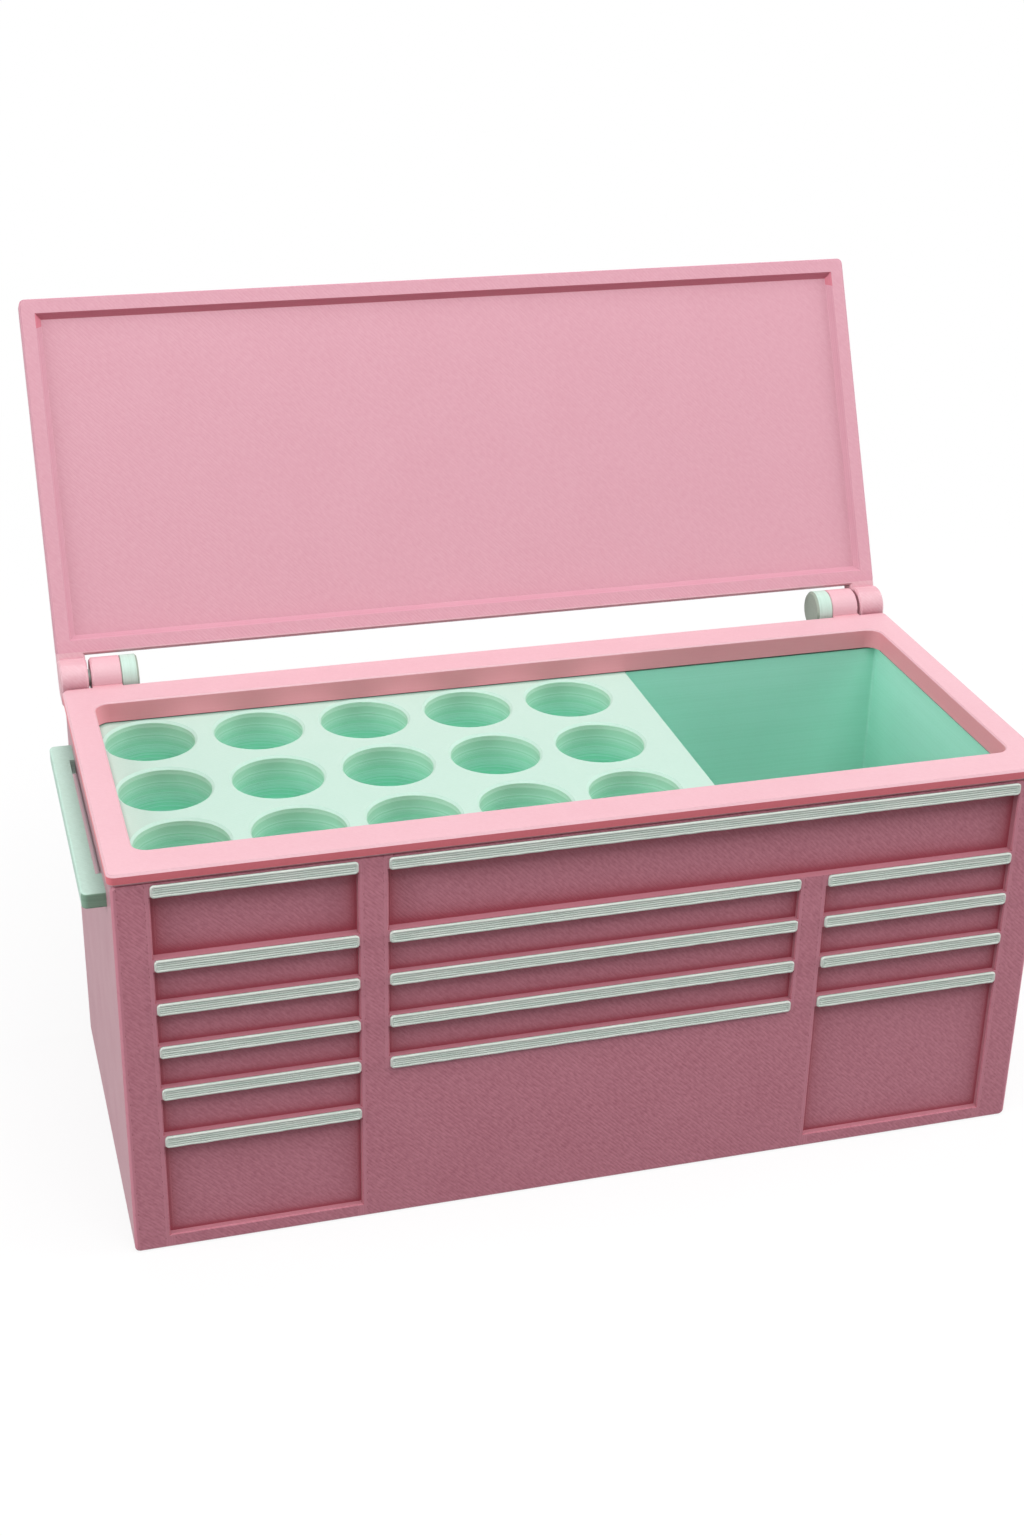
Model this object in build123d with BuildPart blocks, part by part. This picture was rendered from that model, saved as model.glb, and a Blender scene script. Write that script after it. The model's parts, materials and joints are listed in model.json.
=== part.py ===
from build123d import *
from math import atan2, cos, degrees, radians, sin
import os

# Cabinet body
body_width = 152.8
body_depth = 66.4
body_height = 67.0
side_wall = 2.4
front_wall = 4.7
floor_thickness = 2.4
body_corner_radius = 0.9
body_edge_chamfer = 0.4
cavity_corner_radius = 0.6

# Drawer fronts in relief
side_strip = 5.7
column_gap = 4.7
left_column_width = 31.3
middle_column_width = 68.0
top_recess_depth = 1.5
recess_depth = 1.0
recess_edge_chamfer = 0.2
base_rail_height = 2.6
pull_height = 2.1
pull_end_radius = 0.6
pull_thickness = 0.6
first_pull_drop = 0.4
top_drawer_pitch = 12.85
shallow_drawer_pitch = 7.7
low_drawer_pitch = 8.9

# Top rim
rim_overhang = 0.4
rim_flange_thickness = 2.0
rim_corner_radius = 1.2
rim_top_chamfer = 0.35
rim_lower_chamfer = 0.45
rim_inner_chamfer = 0.25
skirt_gap = 0.15
skirt_thickness = 1.75
skirt_depth = 1.65
rim_inner_radius = 2.5

# Storage tray
tray_gap = 0.2
tray_drop = 1.8
tray_corner_radius = 0.5
well_diameter = 15.0
well_depth = 50.0
well_mouth_chamfer = 0.4
well_columns = 5
well_rows = 3
well_pitch_x = 18.35
well_pitch_y = 18.35
first_well_margin = 2.45
block_end_margin = 5.9
bin_wall = 1.4
bin_floor = 1.6
bin_corner_radius = 0.5
bin_edge_chamfer = 0.25

# Side handle
handle_top_drop = 4.8
handle_thickness = 2.6
handle_span = 52.0
handle_projection = 3.7
handle_slot_width = 0.9
handle_leg = 6.0
handle_corner_radius = 1.0
handle_edge_round = 0.3

# Lid
lid_length = 61.8
lid_thickness = 4.0
lid_corner_radius = 1.0
lid_border = 2.5
lid_recess_depth = 1.0
lid_recess_slope_width = 1.0
lid_rim_clearance = 0.25
lid_outer_chamfer = 0.5
lid_inner_chamfer = 0.25
lid_open_angle = 116.0

# Hinges
hinge_rear_offset = 3.85
hinge_rise = 0.1
knuckle_radius = 3.5
knuckle_end_chamfer = 0.35
knuckle_seat_chamfer = 0.15
lid_knuckle_length = 4.8
knuckle_gap = 0.5
rim_knuckle_length = 5.15
lid_hinge_clearance = 0.65
pin_diameter = 3.0
pin_head_length = 3.0
pin_head_chamfer = 0.35
pin_end_chamfer = 0.4
rim_bore_clearance = 0.1
lid_bore_clearance = 0.4
lid_knuckle_skin = 1.0
pin_end_clearance = 0.5
web_overlap = 1.0
touch = 0.001

# Placed sizes
cavity_width = body_width - 2 * side_wall
cavity_depth = body_depth - 2 * front_wall
rim_width = body_width + 2 * rim_overhang
rim_depth = body_depth + 2 * rim_overhang
rim_top = body_height + rim_flange_thickness
skirt_width = cavity_width - 2 * skirt_gap
skirt_length = cavity_depth - 2 * skirt_gap
opening_width = skirt_width - 2 * skirt_thickness
opening_depth = skirt_length - 2 * skirt_thickness
tray_width = cavity_width - 2 * tray_gap
tray_depth = cavity_depth - 2 * tray_gap
tray_top = body_height - tray_drop
well_radius = well_diameter / 2
first_well_x = -tray_width / 2 + first_well_margin + well_radius
last_well_x = first_well_x + (well_columns - 1) * well_pitch_x
block_end = last_well_x + well_radius + block_end_margin
bin_end = tray_width / 2 - bin_wall
bin_depth = tray_depth - 2 * bin_wall
hinge_y = rim_depth / 2 + hinge_rear_offset
hinge_z = rim_top + hinge_rise
lid_face_offset = lid_rim_clearance - hinge_rise
lid_rear_offset = knuckle_radius + lid_hinge_clearance
lid_knuckle_end = rim_width / 2 - lid_knuckle_length
rim_knuckle_end = lid_knuckle_end - knuckle_gap
rim_knuckle_start = rim_knuckle_end - rim_knuckle_length
pin_end = rim_width / 2 - lid_knuckle_skin - pin_end_clearance

# Columns and rows of the front, from the body's own edges
left_start = -body_width / 2 + side_strip
left_end = left_start + left_column_width
middle_start = left_end + column_gap
middle_end = middle_start + middle_column_width
right_start = middle_end + column_gap
right_end = body_width / 2 - side_strip
pull_tops = [body_height - first_pull_drop]
for pitch in (top_drawer_pitch, shallow_drawer_pitch, shallow_drawer_pitch,
              shallow_drawer_pitch, low_drawer_pitch):
    pull_tops.append(pull_tops[-1] - pitch)

front_y = -body_depth / 2
front_plane = Plane.XZ.offset(-front_y)
left_side_plane = Plane.XY.offset(body_height - handle_top_drop - handle_thickness)
open_turn = radians(lid_open_angle)
lid_plane = Plane(
    origin=(0, hinge_y, hinge_z),
    x_dir=(1, 0, 0),
    z_dir=(0, sin(open_turn), cos(open_turn)),
)


# A drawer: name, left end, right end, top of its pull, bottom of its recess
drawers = [("pull_top_wide", middle_start, right_end, pull_tops[0], pull_tops[1])]
for row in range(6):
    recess_bottom = pull_tops[row + 1] if row < 5 else base_rail_height
    drawers.append((f"pull_left_{row + 1}", left_start, left_end, pull_tops[row], recess_bottom))
for row in range(1, 5):
    flush_below = row == 4
    recess_bottom = pull_tops[row] - pull_height if flush_below else pull_tops[row + 1]
    drawers.append((f"pull_middle_{row + 1}", middle_start, middle_end, pull_tops[row], recess_bottom))
for row in range(1, 5):
    recess_bottom = pull_tops[row + 1] if row < 4 else base_rail_height
    drawers.append((f"pull_right_{row + 1}", right_start, right_end, pull_tops[row], recess_bottom))


def low_x(side, near, far):
    return near if side > 0 else -far


def knuckle_rims(part, end_x):
    arcs = part.edges().filter_by(GeomType.CIRCLE)
    return [
        arc
        for arc in arcs
        if abs(arc.radius - knuckle_radius) < touch and abs(arc.center().X - end_x) < touch
    ]


os.makedirs("parts", exist_ok=True)

# Body shell with relief drawer fronts
with BuildPart() as cabinet_body:
    with BuildSketch(front_plane):
        with Locations((0, body_height / 2)):
            RectangleRounded(body_width, body_height, body_corner_radius)
    extrude(amount=-body_depth)
    end_faces = cabinet_body.faces().filter_by(Axis.Y)
    chamfer(end_faces.edges(), length=body_edge_chamfer)
    with BuildSketch(Plane.XY.offset(floor_thickness)):
        RectangleRounded(cavity_width, cavity_depth, cavity_corner_radius)
    extrude(amount=body_height, mode=Mode.SUBTRACT)
    for name, x_start, x_end, top, bottom in drawers:
        recess_height = top - pull_height - bottom
        if recess_height > 0:
            with BuildSketch(front_plane):
                with Locations(((x_start + x_end) / 2, bottom + recess_height / 2)):
                    Rectangle(x_end - x_start, recess_height)
            extrude(
                amount=-(top_recess_depth if top == pull_tops[0] else recess_depth),
                mode=Mode.SUBTRACT,
            )
    face_edges = cabinet_body.edges().filter_by_position(Axis.Y, front_y - touch, front_y + touch)
    inner_edges = face_edges.filter_by_position(Axis.X, left_start - touch, right_end + touch)
    column_edges = inner_edges.filter_by(Axis.Z)
    rail_edges = inner_edges.filter_by_position(
        Axis.Z, base_rail_height - touch, base_rail_height + touch
    )
    chamfer(column_edges + rail_edges, length=recess_edge_chamfer)
cabinet_body.part.label = "cabinet_body"
export_step(cabinet_body.part, "parts/cabinet_body.step")

# Pull strips
for name, x_start, x_end, top, bottom in drawers:
    with BuildPart() as pull:
        with BuildSketch(front_plane):
            with Locations(((x_start + x_end) / 2, top - pull_height / 2)):
                RectangleRounded(x_end - x_start, pull_height, pull_end_radius)
        extrude(amount=pull_thickness)
    pull.part.label = name
    export_step(pull.part, f"parts/{name}.step")

# Top rim with skirt and inner knuckles
with BuildPart() as top_rim:
    with BuildSketch(Plane.XY.offset(body_height)):
        RectangleRounded(rim_width, rim_depth, rim_corner_radius)
    extrude(amount=rim_flange_thickness)
    chamfer(top_rim.faces().sort_by(Axis.Z)[-1].edges(), length=rim_top_chamfer)
    chamfer(top_rim.faces().sort_by(Axis.Z)[0].edges(), length=rim_lower_chamfer)
    with BuildSketch(Plane.XY.offset(body_height - skirt_depth)):
        RectangleRounded(skirt_width, skirt_length, cavity_corner_radius)
    extrude(amount=skirt_depth)
    with BuildSketch(Plane.XY.offset(body_height - skirt_depth)):
        RectangleRounded(opening_width, opening_depth, rim_inner_radius)
    extrude(amount=skirt_depth + rim_flange_thickness, mode=Mode.SUBTRACT)
    opening_edges = top_rim.faces().sort_by(Axis.Z)[-1].inner_wires()[0].edges()
    chamfer(opening_edges, length=rim_inner_chamfer)
    for side in (-1, 1):
        with BuildSketch(Plane.YZ.offset(low_x(side, rim_knuckle_start, rim_knuckle_end))):
            with Locations((hinge_y, hinge_z)):
                Circle(knuckle_radius)
            with Locations((rim_depth / 2, rim_top)):
                Rectangle(
                    hinge_rear_offset,
                    knuckle_radius - hinge_rise,
                    align=(Align.MIN, Align.MAX),
                )
            with Locations((rim_depth / 2, rim_top)):
                Rectangle(
                    2 * rim_lower_chamfer,
                    rim_flange_thickness,
                    align=(Align.CENTER, Align.MAX),
                )
            with Locations((hinge_y, hinge_z)):
                Circle((pin_diameter + rim_bore_clearance) / 2, mode=Mode.SUBTRACT)
        extrude(amount=rim_knuckle_length)
        chamfer(knuckle_rims(top_rim, side * rim_knuckle_end), length=knuckle_end_chamfer)
        chamfer(knuckle_rims(top_rim, side * rim_knuckle_start), length=knuckle_seat_chamfer)
top_rim.part.label = "top_rim"
export_step(top_rim.part, "parts/top_rim.step")

# Storage tray: cell block and bin in one piece
with BuildPart() as storage_tray:
    with BuildSketch(Plane.XY.offset(floor_thickness)):
        RectangleRounded(tray_width, tray_depth, tray_corner_radius)
    extrude(amount=tray_top - floor_thickness)
    with BuildSketch(Plane.XY.offset(tray_top - well_depth)):
        with Locations(((first_well_x + last_well_x) / 2, 0)):
            with GridLocations(well_pitch_x, well_pitch_y, well_columns, well_rows):
                Circle(well_radius)
    extrude(amount=well_depth, mode=Mode.SUBTRACT)
    with BuildSketch(Plane.XY.offset(floor_thickness + bin_floor)):
        with Locations(((block_end + bin_end) / 2, 0)):
            RectangleRounded(bin_end - block_end, bin_depth, bin_corner_radius)
    extrude(amount=tray_top - floor_thickness - bin_floor, mode=Mode.SUBTRACT)
    mouth_wires = storage_tray.faces().sort_by(Axis.Z)[-1].inner_wires()
    well_mouths = [wire for wire in mouth_wires if len(wire.edges()) == 1]
    bin_mouth = [wire for wire in mouth_wires if len(wire.edges()) > 1]
    chamfer([edge for wire in well_mouths for edge in wire.edges()], length=well_mouth_chamfer)
    chamfer([edge for wire in bin_mouth for edge in wire.edges()], length=bin_edge_chamfer)
storage_tray.part.label = "storage_tray"
export_step(storage_tray.part, "parts/storage_tray.step")

# Side handle on the left wall
with BuildPart() as side_handle:
    with BuildSketch(left_side_plane) as handle_outline:
        with Locations((-body_width / 2, 0)):
            Rectangle(handle_projection, handle_span, align=(Align.MAX, Align.CENTER))
        fillet(handle_outline.vertices().group_by(Axis.X)[0], radius=handle_corner_radius)
        with Locations((-body_width / 2, 0)):
            Rectangle(
                handle_slot_width,
                handle_span - 2 * handle_leg,
                align=(Align.MAX, Align.CENTER),
                mode=Mode.SUBTRACT,
            )
    extrude(amount=handle_thickness)
    grip_face = side_handle.faces().sort_by(Axis.X)[0]
    fillet(grip_face.edges().filter_by(Axis.Y), radius=handle_edge_round)
side_handle.part.label = "side_handle"
export_step(side_handle.part, "parts/side_handle.step")

# Lid knuckles: a web to the plate, and a square heel that meets the rim when the lid is open
knuckles = []
for side in (-1, 1):
    knuckle_start = low_x(side, lid_knuckle_end, rim_width / 2)
    knuckle_plane = Plane(
        origin=(knuckle_start, hinge_y, hinge_z),
        x_dir=lid_plane.y_dir,
        z_dir=(1, 0, 0),
    )
    with BuildPart() as knuckle:
        with BuildSketch(knuckle_plane):
            Circle(knuckle_radius)
            with Locations((0, knuckle_radius)):
                Rectangle(
                    lid_rear_offset + web_overlap,
                    knuckle_radius - lid_face_offset,
                    align=(Align.MAX, Align.MAX),
                )
        extrude(amount=lid_knuckle_length)
        with BuildSketch(Plane.YZ.offset(knuckle_start)):
            with Locations((hinge_y, hinge_z)):
                Rectangle(knuckle_radius, knuckle_radius, align=(Align.MAX, Align.MAX))
        extrude(amount=lid_knuckle_length)
        end_faces = knuckle.faces().filter_by(Axis.X)
        chamfer(end_faces.edges(), length=knuckle_end_chamfer)
        with BuildSketch(Plane.YZ.offset(side * lid_knuckle_end)):
            with Locations((hinge_y, hinge_z)):
                Circle((pin_diameter + lid_bore_clearance) / 2)
        extrude(amount=side * (lid_knuckle_length - lid_knuckle_skin), mode=Mode.SUBTRACT)
    knuckles.append(knuckle.part)

# Lid, standing open as it rests
recess_slope_angle = degrees(atan2(lid_recess_slope_width, lid_recess_depth))
lid_centre = -lid_rear_offset - lid_length / 2
with BuildPart() as lid:
    with BuildSketch(lid_plane.offset(lid_face_offset)):
        with Locations((0, lid_centre)):
            RectangleRounded(rim_width, lid_length, lid_corner_radius)
    extrude(amount=lid_thickness)
    lid_faces = lid.faces().sort_by(Axis((0, 0, 0), lid_plane.z_dir))
    chamfer(lid_faces[-1].edges(), length=lid_outer_chamfer)
    chamfer(lid_faces[0].edges(), length=lid_inner_chamfer)
    with BuildSketch(lid_plane.offset(lid_face_offset)):
        with Locations((0, lid_centre)):
            Rectangle(rim_width - 2 * lid_border, lid_length - 2 * lid_border)
    extrude(amount=lid_recess_depth, taper=recess_slope_angle, mode=Mode.SUBTRACT)
    add(knuckles)
lid.part.label = "lid"
export_step(lid.part, "parts/lid.step")

# Hinge pins, pushed outwards from the middle
for side, name in ((-1, "hinge_pin_left"), (1, "hinge_pin_right")):
    head_start = rim_knuckle_start - pin_head_length
    with BuildPart() as pin:
        with BuildSketch(Plane.YZ.offset(side * head_start)):
            with Locations((hinge_y, hinge_z)):
                Circle(knuckle_radius)
        extrude(amount=side * pin_head_length)
        free_face, seat_face = pin.faces().filter_by(Axis.X).sort_by(Axis.X)[:: side]
        chamfer(free_face.edges(), length=pin_head_chamfer)
        chamfer(seat_face.edges(), length=knuckle_seat_chamfer)
        with BuildSketch(Plane.YZ.offset(side * rim_knuckle_start)):
            with Locations((hinge_y, hinge_z)):
                Circle(pin_diameter / 2)
        extrude(amount=side * (pin_end - rim_knuckle_start))
        shank_end = pin.faces().sort_by(Axis.X)[-1 if side > 0 else 0]
        chamfer(shank_end.edges(), length=pin_end_chamfer)
    pin.part.label = name
    export_step(pin.part, f"parts/{name}.step")
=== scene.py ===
import json
from math import ceil, cos, pi, radians, sin

import bmesh
import bpy
from mathutils import Matrix, Vector, noise


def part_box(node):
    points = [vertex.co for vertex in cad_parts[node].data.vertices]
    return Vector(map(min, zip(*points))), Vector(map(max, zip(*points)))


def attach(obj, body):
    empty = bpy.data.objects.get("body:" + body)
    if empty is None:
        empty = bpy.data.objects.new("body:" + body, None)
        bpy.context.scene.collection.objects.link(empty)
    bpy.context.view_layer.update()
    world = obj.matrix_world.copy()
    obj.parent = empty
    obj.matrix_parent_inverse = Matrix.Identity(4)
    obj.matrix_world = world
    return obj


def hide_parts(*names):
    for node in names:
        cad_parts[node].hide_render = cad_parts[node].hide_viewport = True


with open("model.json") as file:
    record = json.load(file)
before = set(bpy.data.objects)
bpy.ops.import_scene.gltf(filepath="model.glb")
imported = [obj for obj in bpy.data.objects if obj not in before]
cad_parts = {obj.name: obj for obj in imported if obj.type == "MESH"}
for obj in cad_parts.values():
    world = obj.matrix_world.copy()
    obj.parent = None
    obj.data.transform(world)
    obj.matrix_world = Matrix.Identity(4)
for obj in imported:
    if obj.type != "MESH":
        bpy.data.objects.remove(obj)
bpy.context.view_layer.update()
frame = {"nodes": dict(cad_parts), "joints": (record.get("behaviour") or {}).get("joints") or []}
nodes = frame["nodes"]
MM = 0.001

# Camera, solved from the photograph: where it aims, how it turns, its focal length and its clipping
camera_aim = Vector((-5.2, 2.3, 60.85)) * MM
camera_distance = 371 * MM
camera_yaw = radians(16.39)
camera_pitch = radians(26.53)
camera_roll = radians(1.24)
camera_lens = 51.41
camera_sensor = 36
camera_nearest = 0.01
camera_farthest = 20

# Stage, with lengths in metres. The camera sees the floor as paper: near_whiteness of the way to
# pure white as far as shadow_reach from the middle, and pure white from white_reach on
floor_size = 6.0
floor_colour = (0.30, 0.30, 0.30, 1)
paper_colour = (0.90, 0.90, 0.90, 1)
near_whiteness = 0.85
shadow_reach = 0.16
white_reach = 0.42
sky_level = 0.04
sky_colour = (1, 1, 1, 1)
white_strength = 1.0

# Lamps, all turned to the object's middle: name, place, metres across and down, power
object_centre = Vector((0, 0, 45)) * MM
lamps = [
    ("overhead_softbox", Vector((0, 30, 900)) * MM, 0.70, 0.55, 2.6),
    ("overhead_front_softbox", Vector((0, -380, 830)) * MM, 0.70, 0.55, 4.8),
    ("left_softbox", Vector((-900, -100, 400)) * MM, 0.60, 0.60, 5.2),
    ("right_softbox", Vector((900, -100, 400)) * MM, 0.60, 0.60, 5.6),
    ("rear_softbox", Vector((0, 900, 450)) * MM, 0.90, 0.50, 2.5),
]

# Printed plastic: the colour of a bead's crown, and of the grooves beside it
pink_rim = (0.735, 0.455, 0.505), (0.66, 0.35, 0.40)
# The rim's walls take a deeper, redder pink than its top, as painted shade
pink_rim_wall_painted_shade = (0.82, 0.33, 0.38), (0.76, 0.27, 0.32)
# The rim's outer edge takes a deeper red, as painted shade
pink_rim_edge_painted_shade = (0.76, 0.19, 0.23), (0.66, 0.12, 0.15)
pink_lid = (0.70, 0.355, 0.43), (0.65, 0.30, 0.37)
pink_lid_wall = (0.65, 0.33, 0.40), (0.56, 0.24, 0.31)
# The slope at the lid's free edge takes a deeper pink, as painted shade
pink_lid_far_wall_painted_shade = (0.64, 0.20, 0.26), (0.56, 0.14, 0.20)
pink_body = (0.64, 0.245, 0.315), (0.47, 0.145, 0.20)
# The body's ledges and recess walls take a darker pink than its front, as painted shade
pink_body_wall_painted_shade = (0.49, 0.205, 0.25), (0.40, 0.125, 0.165)
# The body's outer sides take a greyer pink, a painted sheen
pink_body_side_painted_sheen = (0.48, 0.25, 0.295), (0.40, 0.18, 0.22)
mint = (0.505, 0.70, 0.61), (0.45, 0.65, 0.55)
mint_wall = (0.57, 0.80, 0.645), (0.42, 0.67, 0.50)
# Deeper in the wells the green turns stronger, as painted bounced light
mint_deep_wall_painted_bounce = (0.44, 0.98, 0.82), (0.28, 0.96, 0.68)
mint_bin = (0.43, 0.83, 0.69), (0.33, 0.74, 0.57)
mint_handle = (0.49, 0.69, 0.60), (0.395, 0.575, 0.48)
# The handle's front end takes a darker green, as painted shade
mint_handle_end_painted_shade = (0.23, 0.39, 0.285), (0.18, 0.32, 0.23)
mint_pin = (0.53, 0.70, 0.62), (0.44, 0.61, 0.52)
# The pins' end faces take a darker green, as painted shade
mint_pin_end_painted_shade = (0.32, 0.39, 0.32), (0.26, 0.33, 0.27)
# The pull strips: a near-white crown, partly a painted highlight, and a greener colour further back, as
# painted shade
mint_pull_streaks_and_painted_light = (0.82, 0.84, 0.79), (0.44, 0.62, 0.53)

# Painted shade on flat faces where surfaces close in: colour, reach in millimetres, strength,
# and whether only the piece's own surfaces count
mint_painted_shade = (0.10, 0.22, 0.16)
body_painted_shade = (0.38, 0.07, 0.10), 6.0, 3.2, True
rim_painted_shade = (0.50, 0.08, 0.11), 2.5, 1.0, False
lid_painted_shade = (0.44, 0.12, 0.18), 4.0, 0.8, False
tray_painted_shade = mint_painted_shade, 1.2, 1.6, False
handle_painted_shade = mint_painted_shade, 3.0, 0.8, False
pin_painted_shade = mint_painted_shade, 1.5, 0.8, False
painted_shade_samples = 6

# Zones in millimetres, for painted shade, sheen and bounced light and for colours of their own:
# depths from a piece's edge, and a place across
side_depth = 1.0
rim_edge_depth = 1.5
well_shade_depth = 9.0
handle_end_depth = 0.8
lid_slope_depth = 3.2
lid_slope_reach = 1.3
lid_edge_width = 1.5
knuckle_reach = 4.6
bin_start = 22.9
bin_calm = 0.2

# A face is flat where its normal stands up by more than this
flat_limit = 0.65
lid_flat_limit = 0.75

# The arc across a bead, its place across times the rest of its width, peaks at 1 with this
arc_scale = 4.0

# Slanting lines on the flat faces: millimetres, and the noise that bends and breaks them
line_width = 0.5
dash_length = 1.1
dash_detail = 1.0
line_sway = 0.4
line_sway_scale = 0.3
diagonal = 0.7071

# Upright lines and pinholes beside the edges of the drawer fronts, in millimetres. A hole lies
# within hole_drop of its bead's crown, and each row is shifted by its edge's place times hole_shift
perimeter_width = 0.8
# The upright lines are paler: printed perimeters, partly a painted highlight along the edges
perimeter_paleness_and_highlight = 0.25
hole_pitch = 1.4
hole_half_width = 0.07
hole_drop = 0.06
hole_share = 0.5
hole_shift = 1.7

# Rings round the walls, and the thin darker lines where their noise is near its middle
layer_height = 0.28
ring_sway = 0.35
ring_sway_scale = 0.25
ring_line_scale = 1.5
ring_line_detail = 1.0
ring_line_reach = 0.10
noise_middle = 0.5

# Unevenness all over
mottle_scale = 0.12
mottle_detail = 3.0
grain_scale = 3.5
grain_detail = 2.0

# What each part adds to the depth of the colour, which is 0 for a crown and 1 for a groove
bead_tone = -0.25
dash_tone = 1.6
hole_tone = 1.5
face_tone = 0.3
hatched_face_tone = -0.63
ring_tone = -0.2
ring_shade_tone = 0.15
ring_line_tone = 0.7
wall_tone = 0.2
mottle_tone = 0.35
grain_tone = 0.4
base_tone = -0.375

# What each part adds to the height of the surface
bead_rise = 0.6
dash_rise = 0.6
hole_rise = -3.0
ring_rise = 0.6
ring_shade_rise = 0.4
ring_line_rise = -0.5
grain_rise = 0.3

# Gloss
plastic_ior = 1.47
plastic_roughness = 0.42
mottle_roughness = 0.1
grain_roughness = 0.1

# Plastic of the pull strips: streaks along the beads, painted shade further back from the front, and their
# tones and rises as above
streak_stretch = 0.05
streak_scale = 2.6
streak_detail = 2.0
strip_grain_scale = 3.0
painted_sunk_shade_tone = 1.3
streak_tone = 0.9
strip_grain_tone = 0.25
strip_base_tone = -0.45
strip_grain_rise = 0.6
strip_relief = 0.03
strip_roughness = 0.40
streak_roughness = 0.2

# Filament beads of the pull strips, in millimetres
bead_radius = 0.25
pull_corner = 0.6
inner_beads = 3
inner_drop = 0.04
bead_sides = 10
bead_step = 0.9
corner_steps = 6
backing_inset = 0.12
backing_front = 0.32

# In bead radii: from the strip's front to the beads' middles, from its ends to where the inner
# beads end, and the inner beads' own radius
crown_room = 1.12
inner_end_room = 1.6
inner_bead_width = 0.95

# How far the beads stray from their straight lines, in millimetres, and from even widths
upper_stray = 0.025
lower_stray = 0.07
border_width_stray = 0.12
inner_stray = 0.04
inner_width_stray = 0.1

# The noise that makes them stray: how fast it runs along a bead, how far apart its rows are, and
# which rows the borders' widths and the inner beads use
wander_scale = 0.45
wander_row_step = 9.7
wander_layer = 3.1
inner_slowness = 0.3
lower_border_row = 0.5
border_width_row = 20
inner_row = 40
inner_width_row = 60

# A Mix node's sockets
MIX_FACTOR = 0
MIX_NUMBERS = 2, 3
MIX_COLOURS = 6, 7
MIX_COLOUR_RESULT = 2


class Shading:
    """One material's node tree, with short calls that add a node."""

    def __init__(self, name):
        self.material = bpy.data.materials.new(name)
        self.material.use_nodes = True
        self.tree = self.material.node_tree
        self.tree.nodes.clear()

    def add(self, kind, inputs=(), **settings):
        """A new node; each input is a value or another node's socket."""
        node = self.tree.nodes.new(kind)
        for setting, value in settings.items():
            setattr(node, setting, value)
        for socket, value in dict(inputs).items():
            if isinstance(value, bpy.types.NodeSocket):
                self.tree.links.new(value, node.inputs[socket])
            else:
                node.inputs[socket].default_value = value
        return node

    def math(self, operation, *values):
        return self.add("ShaderNodeMath", dict(enumerate(values)), operation=operation).outputs[0]

    def total(self, *weighted):
        """The sum of each value times its weight."""
        result = 0.0
        for value, weight in weighted:
            inputs = {0: value, 1: weight, 2: result}
            result = self.add("ShaderNodeMath", inputs, operation="MULTIPLY_ADD").outputs[0]
        return result

    def mix(self, factor, first, second):
        inputs = {MIX_FACTOR: factor, **dict(zip(MIX_NUMBERS, (first, second)))}
        return self.add("ShaderNodeMix", inputs, data_type="FLOAT").outputs[0]

    def mix_colour(self, factor, first, second):
        """The two colours mixed; each is three numbers or a socket."""
        inputs = {MIX_FACTOR: factor}
        for socket, colour in zip(MIX_COLOURS, (first, second)):
            inputs[socket] = colour if isinstance(colour, bpy.types.NodeSocket) else (*colour, 1)
        return self.add("ShaderNodeMix", inputs, data_type="RGBA").outputs[MIX_COLOUR_RESULT]

    def mix_pair(self, factor, first, second):
        return tuple(self.mix_colour(factor, one, other) for one, other in zip(first, second))

    def parts(self, vector):
        return self.add("ShaderNodeSeparateXYZ", {0: vector}).outputs

    def noise(self, point, scale, detail=2.0):
        inputs = {"Vector": point, "Scale": scale, "Detail": detail}
        return self.add("ShaderNodeTexNoise", inputs).outputs["Fac"]

    def random(self, number):
        shade = self.add("ShaderNodeTexWhiteNoise", {"W": number}, noise_dimensions="1D")
        return shade.outputs["Value"]

    def lines(self, along, pitch):
        """Beads side by side: how high the surface is, from 0 between two beads to 1 on a
        bead's crown, and a number of its own for each bead."""
        count = self.math("DIVIDE", along, pitch)
        across = self.math("FRACT", count)
        rest = self.math("SUBTRACT", 1.0, across)
        height = self.math("MULTIPLY", self.math("MULTIPLY", across, rest), arc_scale)
        return height, self.random(self.math("FLOOR", count))

    def near(self, value, place, reach):
        """1 where the value is within reach of the place, and 0 elsewhere."""
        return self.math("COMPARE", value, place, reach)

    def place(self):
        """Position in millimetres, and surface normal."""
        source = self.add("ShaderNodeTexCoord")
        inputs = {0: source.outputs["Object"], "Scale": 1 / MM}
        in_mm = self.add("ShaderNodeVectorMath", inputs, operation="SCALE").outputs[0]
        return in_mm, source.outputs["Normal"]

    def turn(self, vector, axis, angle):
        inputs = {"Vector": vector, "Angle": angle}
        return self.add("ShaderNodeVectorRotate", inputs, rotation_type=axis).outputs[0]

    def corner(self, reach, strength, alone):
        """How much painted shade a point gets: 0 in the open, and up to 1 where surfaces within
        reach close in; alone counts this piece only."""
        node = self.add(
            "ShaderNodeAmbientOcclusion", {"Distance": reach * MM}, samples=painted_shade_samples, only_local=alone
        )
        closed = self.math("SUBTRACT", 1.0, node.outputs["AO"])
        inputs = {0: closed, 1: strength}
        return self.add("ShaderNodeMath", inputs, operation="MULTIPLY", use_clamp=True).outputs[0]

    def finish(self, inputs):
        shader = self.add("ShaderNodeBsdfPrincipled", inputs)
        self.add("ShaderNodeOutputMaterial", {"Surface": shader.outputs[0]})
        return self.material


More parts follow.
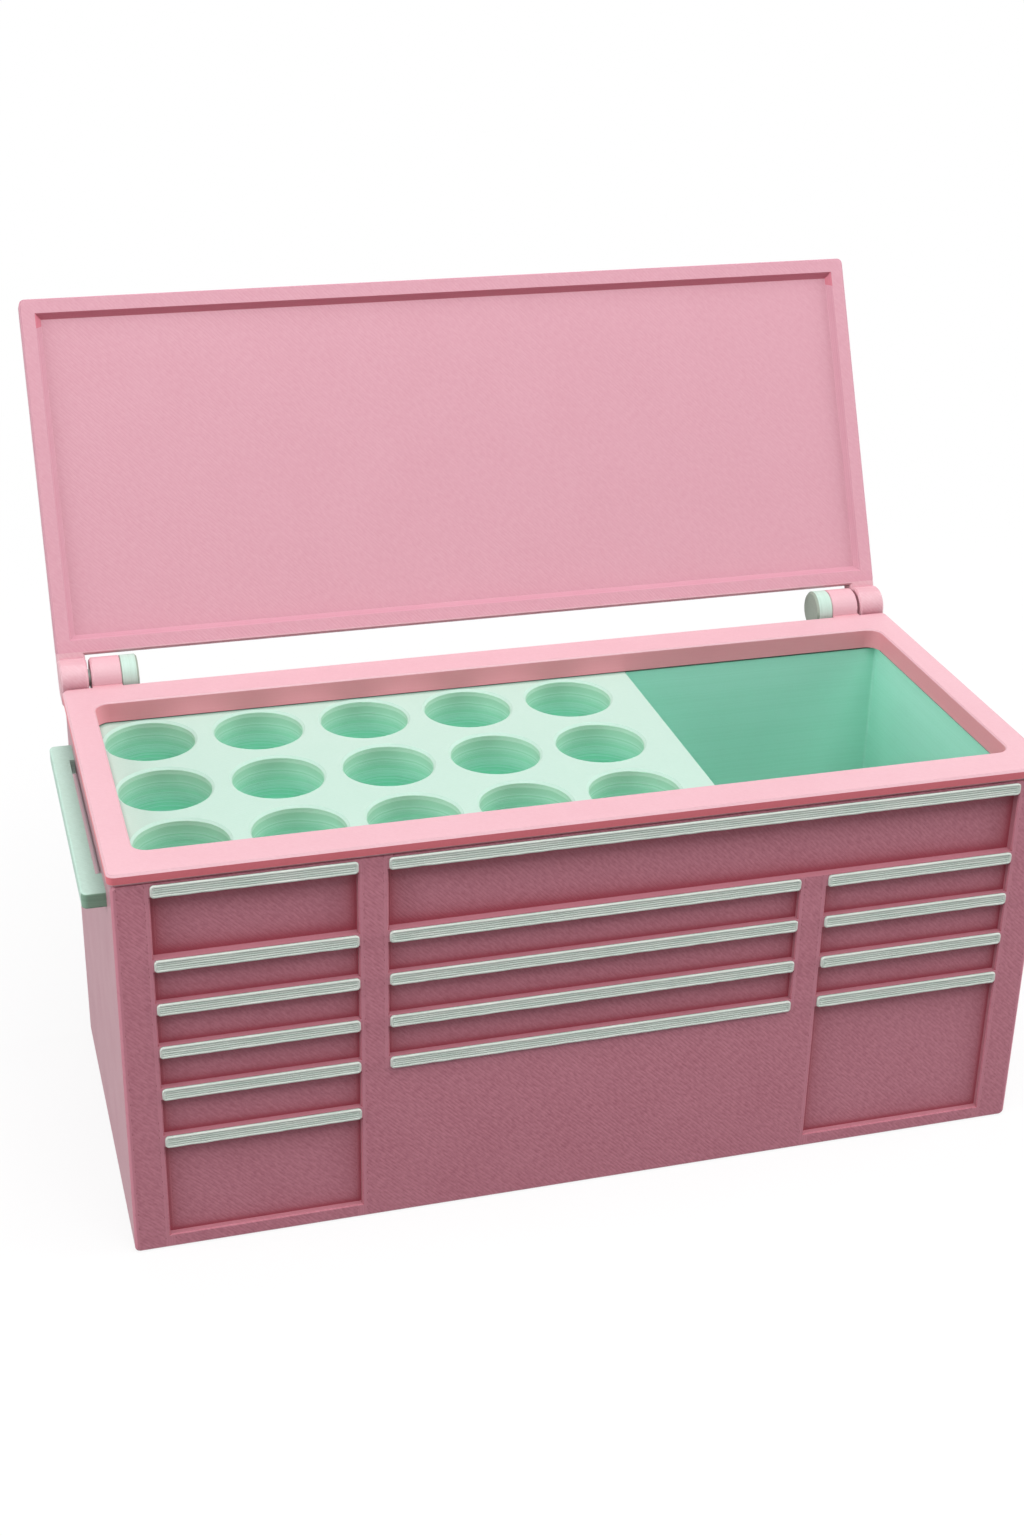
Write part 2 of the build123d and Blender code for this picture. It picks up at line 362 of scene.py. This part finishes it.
def hatching(sheet, point, x, y, front, edges):
    """Slanting lines in short dashes, with paler upright lines, partly a painted highlight, and pinholes
    beside each edge.

    Each edge is a place across the front face, with the lowest and highest place along it.
    Gives the height of the lines, the dashes' noise, and 1 in each pinhole."""
    sway = sheet.noise(point, line_sway_scale)
    across = sheet.total((x, diagonal), (y, diagonal), (sway, line_sway))
    along = sheet.total((x, diagonal), (y, -diagonal))
    height = sheet.lines(across, line_width)[0]
    inputs = {0: sheet.math("DIVIDE", along, dash_length), 1: sheet.math("DIVIDE", across, line_width)}
    cell = sheet.add("ShaderNodeCombineXYZ", inputs).outputs[0]
    dashes = sheet.noise(cell, 1.0, dash_detail)
    holes = 0.0
    for place, low, high in edges:
        within = sheet.math("MULTIPLY", front, sheet.near(y, (low + high) / 2, (high - low) / 2))
        beside = sheet.math("MULTIPLY", within, sheet.near(x, place, perimeter_width))
        height = sheet.mix(beside, height, sheet.lines(x, perimeter_width / 2)[0])
        # Paler upright lines beside the edge, partly a painted highlight
        dashes = sheet.total((beside, -perimeter_paleness_and_highlight), (dashes, 1.0))
        crown, chance = sheet.lines(sheet.total((y, 1.0), (place, hole_shift)), hole_pitch)
        at_crown = sheet.near(crown, 1.0, hole_drop)
        row = sheet.math("MULTIPLY", at_crown, sheet.near(chance, 1.0, hole_share))
        distance = sheet.math("ABSOLUTE", sheet.math("SUBTRACT", x, place))
        spot = sheet.math("MULTIPLY", row, sheet.near(distance, perimeter_width, hole_half_width))
        holes = sheet.math("MAXIMUM", holes, sheet.math("MULTIPLY", spot, within))
    return height, dashes, holes


def layering(sheet, point, z):
    """Rings round the walls, with a thin darker line at uneven distances.

    Gives the height of the rings, a number for each ring, and 1 along each darker line."""
    sway = sheet.noise(point, ring_sway_scale)
    level = sheet.total((z, 1.0), (sway, ring_sway))
    height, shade = sheet.lines(level, layer_height)
    inputs = {"W": level, "Scale": ring_line_scale, "Detail": ring_line_detail}
    band = sheet.add("ShaderNodeTexNoise", inputs, noise_dimensions="1D")
    offset = sheet.math("ABSOLUTE", sheet.math("SUBTRACT", band.outputs["Fac"], noise_middle))
    inputs = {"Value": offset, "From Max": ring_line_reach, "To Min": 1.0, "To Max": 0.0}
    return height, shade, sheet.add("ShaderNodeMapRange", inputs).outputs[0]


def printed_plastic(
    name, face, wall, zones, corner, axis="X_AXIS", angle=0.0, edges=(), hatch=1.0, rings=1.0, relief=0.02,
    calm=None, flat_from=flat_limit, patches=None,
):
    """Plastic laid down in beads: rings round the walls and slanting lines on the flat faces.

    The turn about the axis brings the direction in which the layers were stacked upright.
    A zone gives how much of another pair of colours each point of the walls has, and a patch
    gives it for walls and faces. Calm gives how much of the rings shows at each point. The
    corner is the painted shade on flat faces where surfaces close in: its colour, its reach,
    its strength and whether only this piece counts. Hatch and rings are how strong the lines
    and the rings are, and relief is how far the surface rises, in millimetres."""
    sheet = Shading(name)
    place, normal = sheet.place()
    point = sheet.turn(place, axis, angle)
    x, y, z = sheet.parts(point)
    upright = sheet.math("ABSOLUTE", sheet.parts(sheet.turn(normal, axis, angle))[2])
    flat = sheet.math("GREATER_THAN", upright, flat_from)

    front = sheet.math("LESS_THAN", sheet.parts(place)[1], 0.0)
    hatch_height, dashes, holes = hatching(sheet, point, x, y, front, edges)
    ring_height, ring_shade, ring_line = layering(sheet, point, z)
    shown = calm(sheet, place) if calm else 1.0
    mottle = sheet.noise(point, mottle_scale, mottle_detail)
    grain = sheet.noise(point, grain_scale, grain_detail)

    on_face = sheet.total(
        (hatch_height, bead_tone * hatch),
        (dashes, dash_tone * hatch),
        (holes, hole_tone),
        (1.0, face_tone + hatched_face_tone * hatch),
    )
    rings_seen = sheet.total(
        (ring_height, ring_tone * rings),
        (ring_shade, ring_shade_tone * rings),
        (ring_line, ring_line_tone * rings),
    )
    on_wall = sheet.total((rings_seen, shown), (1.0, wall_tone))
    depth = sheet.total(
        (sheet.mix(flat, on_wall, on_face), 1.0),
        (mottle, mottle_tone),
        (grain, grain_tone),
        (1.0, base_tone),
    )

    raised_face = sheet.total(
        (hatch_height, bead_rise * hatch),
        (dashes, dash_rise * hatch),
        (holes, hole_rise),
    )
    raised_rings = sheet.total(
        (ring_height, ring_rise * rings),
        (ring_shade, ring_shade_rise * rings),
        (ring_line, ring_line_rise * rings),
    )
    raised_wall = sheet.total((raised_rings, shown))
    surface = sheet.total((sheet.mix(flat, raised_wall, raised_face), 1.0), (grain, grain_rise))
    bump = sheet.add("ShaderNodeBump", {"Distance": relief * MM, "Height": surface})

    colours = wall
    for share, pair in zones(sheet, place):
        colours = sheet.mix_pair(share, colours, pair)
    colours = sheet.mix_pair(flat, colours, face)
    for share, pair in patches(sheet, place) if patches else []:
        colours = sheet.mix_pair(share, colours, pair)
    # Painted shade: where surfaces close in, flat faces turn towards the corner colour
    painted_shade_colour, *painted_shade_settings = corner
    closed = sheet.math("MULTIPLY", sheet.corner(*painted_shade_settings), flat)
    colour = sheet.mix_colour(closed, sheet.mix_colour(depth, *colours), painted_shade_colour)
    roughness = sheet.total((mottle, mottle_roughness), (grain, grain_roughness), (1.0, plastic_roughness))
    return sheet.finish(
        {"Base Color": colour, "Roughness": roughness, "Normal": bump.outputs[0], "IOR": plastic_ior}
    )


def body_zones(sheet, place):
    """The outer sides of the body are a greyer pink, a painted sheen."""
    outward = sheet.math("ABSOLUTE", sheet.parts(place)[0])
    return [(sheet.math("GREATER_THAN", outward, body_high.x / MM - side_depth), pink_body_side_painted_sheen)]


def knuckles(sheet, place):
    """Round the hinge axis every surface has the rim's pink."""
    y, z = sheet.parts(place)[1:]
    axis_y, axis_z = lid_joint["pos_m"][1] / MM, lid_joint["pos_m"][2] / MM
    across = sheet.add("ShaderNodeCombineXYZ", {0: y, 1: z}).outputs[0]
    inputs = {0: across, 1: (axis_y, axis_z, 0)}
    reach = sheet.add("ShaderNodeVectorMath", inputs, operation="DISTANCE").outputs["Value"]
    return [(sheet.math("LESS_THAN", reach, knuckle_reach), pink_rim)]


def rim_zones(sheet, place):
    """The rim's outer edge is painted a deeper pink than its inner walls, as painted shade."""
    x, y = sheet.parts(place)[:2]
    beyond_side = sheet.math("GREATER_THAN", sheet.math("ABSOLUTE", x), rim_high.x / MM - rim_edge_depth)
    beyond_front = sheet.math("LESS_THAN", y, rim_low.y / MM + rim_edge_depth)
    outer = sheet.math("MAXIMUM", beyond_side, beyond_front)
    return [(outer, pink_rim_edge_painted_shade)]


def lid_zones(sheet, place):
    """The slope inside the border at the lid's free edge is painted a deeper pink, as painted shade."""
    position = sheet.parts(place)
    at_slope = sheet.near(position["Z"], lid_high.z / MM - lid_slope_depth, lid_slope_reach)
    outward = sheet.math("ABSOLUTE", position["X"])
    inside = sheet.math("LESS_THAN", outward, lid_high.x / MM - lid_edge_width)
    return [(sheet.math("MULTIPLY", at_slope, inside), pink_lid_far_wall_painted_shade)]


def in_bin(sheet, place):
    """1 in the open bin and 0 elsewhere."""
    return sheet.math("GREATER_THAN", sheet.parts(place)[0], bin_start)


def tray_zones(sheet, place):
    """The wells are painted greener further down, as painted bounced light, and the bin walls are a greener
    mint.
    """
    top = tray_high.z / MM
    inputs = {"Value": sheet.parts(place)[2], "From Min": top, "From Max": top - well_shade_depth}
    # Painted bounced light: the share of the stronger green grows further down the wells
    down = sheet.add("ShaderNodeMapRange", inputs).outputs[0]
    return [(down, mint_deep_wall_painted_bounce), (in_bin(sheet, place), mint_bin)]


def tray_calm(sheet, place):
    """The rings hardly show in the bin."""
    return sheet.mix(in_bin(sheet, place), 1.0, bin_calm)


def handle_zones(sheet, place):
    """The handle's front end is painted a darker green, as painted shade."""
    limit = handle_low.y / MM + handle_end_depth
    return [(sheet.math("LESS_THAN", sheet.parts(place)[1], limit), mint_handle_end_painted_shade)]


def no_zones(sheet, place):
    """The walls have one pair of colours."""
    return []


def strip_plastic(name, colours, front, back):
    """Beads that stand up from the surface: pale on their crowns, partly a painted highlight, and greener
    further back in the grooves, as painted shade.
    """
    sheet = Shading(name)
    point = sheet.place()[0]
    x, y, z = sheet.parts(point)
    # Painted shade: further back from the strip's front the colour turns greener
    inputs = {"Value": y, "From Min": front / MM, "From Max": back / MM}
    sunk_painted_shade = sheet.add("ShaderNodeMapRange", inputs).outputs[0]
    inputs = {0: sheet.math("MULTIPLY", x, streak_stretch), 1: 0.0, 2: z}
    streak = sheet.add("ShaderNodeCombineXYZ", inputs).outputs[0]
    streaks = sheet.noise(streak, streak_scale, streak_detail)
    grain = sheet.noise(point, strip_grain_scale, grain_detail)
    depth = sheet.total(
        (sunk_painted_shade, painted_sunk_shade_tone), (streaks, streak_tone), (grain, strip_grain_tone), (1.0, strip_base_tone)
    )
    surface = sheet.total((streaks, 1.0), (grain, strip_grain_rise))
    bump = sheet.add("ShaderNodeBump", {"Distance": strip_relief * MM, "Height": surface})
    colour = sheet.mix_colour(depth, *colours)
    roughness = sheet.total((streaks, streak_roughness), (1.0, strip_roughness))
    return sheet.finish(
        {"Base Color": colour, "Roughness": roughness, "Normal": bump.outputs[0], "IOR": plastic_ior}
    )


def make_floor():
    """A pale floor that the camera sees as white paper, with the object's soft shadow."""
    bpy.ops.mesh.primitive_plane_add(size=floor_size)
    floor = bpy.context.active_object
    floor.name = "floor"
    sheet = Shading("floor_paper")
    place = sheet.add("ShaderNodeTexCoord").outputs["Object"]
    reach = sheet.add("ShaderNodeVectorMath", {0: place}, operation="LENGTH").outputs["Value"]
    inputs = {
        "Value": reach,
        "From Min": shadow_reach,
        "From Max": white_reach,
        "To Min": near_whiteness,
        "To Max": 1.0,
    }
    share = sheet.add("ShaderNodeMapRange", inputs, interpolation_type="SMOOTHSTEP").outputs[0]
    path = sheet.add("ShaderNodeLightPath")
    seen = sheet.math("MAXIMUM", path.outputs["Is Camera Ray"], path.outputs["Is Glossy Ray"])
    seen = sheet.math("MAXIMUM", seen, path.outputs["Is Transmission Ray"])
    floor_matte = sheet.add("ShaderNodeBsdfDiffuse", {"Color": floor_colour}).outputs[0]
    paper = sheet.add("ShaderNodeBsdfDiffuse", {"Color": paper_colour}).outputs[0]
    white = sheet.add("ShaderNodeEmission", {"Strength": white_strength}).outputs[0]
    for_camera = sheet.add("ShaderNodeMixShader", {0: share, 1: paper, 2: white}).outputs[0]
    mixed = sheet.add("ShaderNodeMixShader", {0: seen, 1: floor_matte, 2: for_camera}).outputs[0]
    sheet.add("ShaderNodeOutputMaterial", {"Surface": mixed})
    floor.data.materials.append(sheet.material)


def make_sky():
    """White where the camera, a reflection or a see-through piece sees it, dim as a light."""
    world = bpy.data.worlds.new("studio")
    world.use_nodes = True
    bpy.context.scene.world = world
    tree = world.node_tree
    path = tree.nodes.new("ShaderNodeLightPath")
    seen = path.outputs["Is Camera Ray"]
    for ray in ("Is Glossy Ray", "Is Transmission Ray"):
        either = tree.nodes.new("ShaderNodeMath")
        either.operation = "MAXIMUM"
        tree.links.new(seen, either.inputs[0])
        tree.links.new(path.outputs[ray], either.inputs[1])
        seen = either.outputs[0]
    level = tree.nodes.new("ShaderNodeMix")
    for socket, strength in zip(MIX_NUMBERS, (sky_level, white_strength)):
        level.inputs[socket].default_value = strength
    tree.links.new(seen, level.inputs[MIX_FACTOR])
    background = tree.nodes["Background"]
    background.inputs["Color"].default_value = sky_colour
    tree.links.new(level.outputs[0], background.inputs["Strength"])


def make_lamps():
    """The area lamps, each turned to the object's middle."""
    for name, place, across, down, power in lamps:
        light = bpy.data.lights.new(name, "AREA")
        light.shape = "RECTANGLE"
        light.size = across
        light.size_y = down
        light.energy = power
        lamp = bpy.data.objects.new(name, light)
        lamp.location = place
        lamp.rotation_euler = (object_centre - place).to_track_quat("-Z", "Y").to_euler()
        bpy.context.scene.collection.objects.link(lamp)


def make_camera():
    """The camera at the photograph's viewing angle."""
    data = bpy.data.cameras.new("camera")
    data.sensor_width = camera_sensor
    data.lens = camera_lens
    data.clip_start = camera_nearest
    data.clip_end = camera_farthest
    camera = bpy.data.objects.new("camera", data)
    turn = (
        Matrix.Rotation(-camera_yaw, 4, "Z")
        @ Matrix.Rotation(pi / 2 - camera_pitch, 4, "X")
        @ Matrix.Rotation(camera_roll, 4, "Z")
    )
    back = turn.to_3x3() @ Vector((0, 0, 1))
    camera.matrix_world = Matrix.Translation(camera_aim + back * camera_distance) @ turn
    bpy.context.scene.collection.objects.link(camera)
    bpy.context.scene.camera = camera


def dress(names, material):
    """Give the named pieces this one material."""
    for name in names:
        data = nodes[name].data
        data.materials.clear()
        data.materials.append(material)


def wander(x, row, size):
    """A smooth random offset along x, different in each row."""
    return size * noise.noise(Vector((x * wander_scale, row * wander_row_step, wander_layer)))


def straight(start, end):
    """Points from start up to, but not at, end."""
    parts = max(1, ceil((end - start).length / bead_step))
    return [start.lerp(end, part / parts) for part in range(parts)]


def rounded_loop(half_x, half_z, corner):
    """Points round a rounded rectangle, in millimetres from its middle."""
    points = []
    centres = [(1, 1, 0), (-1, 1, 1), (-1, -1, 2), (1, -1, 3)]
    for side_x, side_z, quarter in centres:
        centre = Vector((side_x * (half_x - corner), 0, side_z * (half_z - corner)))
        arc = []
        for step in range(corner_steps + 1):
            turn = (quarter + step / corner_steps) * pi / 2
            arc.append(centre + corner * Vector((cos(turn), 0, sin(turn))))
        if points:
            points += straight(points[-1], arc[0])[1:]
        points += arc
    return points + straight(points[-1], points[0])[1:]


def add_bead(mesh, path, radii, closed):
    """A bead of round section along the path, in millimetres."""
    outward = Vector((0, -1, 0))
    count = len(path)
    rings = []
    for index, (point, radius) in enumerate(zip(path, radii)):
        before = path[index - 1] if closed or index else point
        after = path[(index + 1) % count] if closed or index + 1 < count else point
        side = (after - before).normalized().cross(outward)
        ring = []
        for step in range(bead_sides):
            turn = 2 * pi * step / bead_sides
            ring.append(mesh.verts.new((point + radius * (side * cos(turn) + outward * sin(turn))) * MM))
        rings.append(ring)
    pairs = list(zip(rings, rings[1:] + rings[:1])) if closed else list(zip(rings, rings[1:]))
    for first, second in pairs:
        for step in range(bead_sides):
            after = (step + 1) % bead_sides
            mesh.faces.new((first[step], first[after], second[after], second[step]))
    if not closed:
        mesh.faces.new(rings[0])
        mesh.faces.new(rings[-1][::-1])


def add_backing(mesh, middle, half_x, half_z, front, back):
    """The flat strip that the beads lie on."""
    outline = rounded_loop(half_x - backing_inset, half_z - backing_inset, pull_corner - backing_inset)
    rings = [
        [mesh.verts.new((middle + point + Vector((0, y, 0))) * MM) for point in outline]
        for y in (front, back)
    ]
    for index in range(len(outline)):
        after = (index + 1) % len(outline)
        mesh.faces.new((rings[0][index], rings[0][after], rings[1][after], rings[1][index]))
    mesh.faces.new(rings[0][::-1])
    mesh.faces.new(rings[1])


def make_pull(name, row, material):
    """One mint strip: a bead round its border, straight beads inside it, on a flat strip."""
    low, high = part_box(name)
    low, high = low / MM, high / MM
    middle = Vector(((low.x + high.x) / 2, 0, (low.z + high.z) / 2))
    half_x, half_z = (high.x - low.x) / 2, (high.z - low.z) / 2
    crown = low.y + bead_radius * crown_room
    mesh = bmesh.new()

    border, radii = [], []
    for point in rounded_loop(half_x - bead_radius, half_z - bead_radius, pull_corner - bead_radius):
        place = middle + point
        lower = point.z < 0
        stray = lower_stray if lower else upper_stray
        shift = wander(place.x, row + lower_border_row * lower, stray)
        border.append(place + Vector((0, crown, shift)))
        radii.append(bead_radius * (1 + wander(place.x, row + border_width_row, border_width_stray)))
    add_bead(mesh, border, radii, True)

    spacing = (2 * half_z - 2 * bead_radius) / (inner_beads + 1)
    for line in range(inner_beads):
        height = middle.z - half_z + bead_radius + spacing * (line + 1)
        start = Vector((low.x + inner_end_room * bead_radius, crown + inner_drop, height))
        end = Vector((high.x - inner_end_room * bead_radius, crown + inner_drop, height))
        path, widths = [], []
        for point in straight(start, end) + [end]:
            shift = wander(point.x * inner_slowness, row + inner_row + line, inner_stray)
            spread = wander(point.x * inner_slowness, row + inner_width_row + line, inner_width_stray)
            path.append(point + Vector((0, 0, shift)))
            widths.append(bead_radius * (inner_bead_width + spread))
        add_bead(mesh, path, widths, False)

    add_backing(mesh, middle, half_x, half_z, low.y + backing_front, high.y)
    data = bpy.data.meshes.new(name + "_beads")
    mesh.to_mesh(data)
    mesh.free()
    data.polygons.foreach_set("use_smooth", [True] * len(data.polygons))
    data.materials.append(material)
    piece = bpy.data.objects.new(name + "_beads", data)
    bpy.context.scene.collection.objects.link(piece)
    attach(piece, "cabinet")
    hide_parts(name)


def column_edges():
    """Where the upright edges of the drawer fronts are: place across, and lowest and highest place.

    The middle and right columns stop below the wide drawer, which has no edge between them."""
    floor_z, top_z = 0.0, body_high.z / MM
    edges = [(body_low.x / MM, floor_z, top_z), (body_high.x / MM, floor_z, top_z)]
    left, middle, right = (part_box(name) for name in ("pull_left_6", "pull_middle_5", "pull_right_5"))
    edges += [(left[0].x / MM, floor_z, top_z), (left[1].x / MM, floor_z, top_z)]
    wide_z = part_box("pull_middle_2")[1].z / MM
    edges += [(middle[0].x / MM, middle[0].z / MM, top_z), (middle[1].x / MM, middle[0].z / MM, wide_z)]
    edges += [(right[0].x / MM, floor_z, wide_z), (right[1].x / MM, floor_z, top_z)]
    return edges


make_camera()
make_floor()
make_sky()
make_lamps()

lid_joint = next(joint for joint in frame["joints"] if joint["name"] == "lid_hinge")
lid_open = radians(lid_joint["range_deg"][1])
pulls = sorted(name for name in nodes if name.startswith("pull_"))
pull_low, pull_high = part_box("pull_top_wide")

body_low, body_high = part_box("cabinet_body")
rim_low, rim_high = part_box("top_rim")
tray_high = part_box("storage_tray")[1]
lid_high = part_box("lid")[1]
handle_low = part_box("side_handle")[0]

body_plastic = printed_plastic(
    "body_pink", pink_body, pink_body_wall_painted_shade, body_zones, body_painted_shade, angle=-pi / 2,
    edges=column_edges(), rings=0.35, relief=0.03,
)
rim_plastic = printed_plastic(
    "rim_pink", pink_rim, pink_rim_wall_painted_shade, rim_zones, rim_painted_shade, hatch=0.25, rings=0.2, relief=0.012,
    patches=knuckles,
)
lid_plastic = printed_plastic(
    "lid_pink", pink_lid, pink_lid_wall, lid_zones, lid_painted_shade, angle=lid_open - pi, hatch=0.8,
    relief=0.02, flat_from=lid_flat_limit, patches=knuckles,
)
tray_plastic = printed_plastic(
    "tray_mint", mint, mint_wall, tray_zones, tray_painted_shade, hatch=0.3, rings=1.4, relief=0.02,
    calm=tray_calm,
)
handle_plastic = printed_plastic(
    "handle_mint", mint_handle, mint_handle, handle_zones, handle_painted_shade, hatch=0.5, relief=0.015
)
# The pins' end faces take the darker green as painted shade
pin_plastic = printed_plastic(
    "pin_mint", mint_pin_end_painted_shade, mint_pin, no_zones, pin_painted_shade, axis="Y_AXIS", angle=pi / 2, hatch=0.5,
    rings=0.6, relief=0.02,
)
pull_plastic = strip_plastic("pull_mint", mint_pull_streaks_and_painted_light, pull_low.y, pull_high.y)

dress(["cabinet_body"], body_plastic)
dress(["top_rim"], rim_plastic)
dress(["lid"], lid_plastic)
dress(["storage_tray"], tray_plastic)
dress(["side_handle"], handle_plastic)
dress(["hinge_pin_left", "hinge_pin_right"], pin_plastic)
for row, name in enumerate(pulls):
    make_pull(name, row, pull_plastic)

bpy.context.scene.view_settings.view_transform = "Standard"
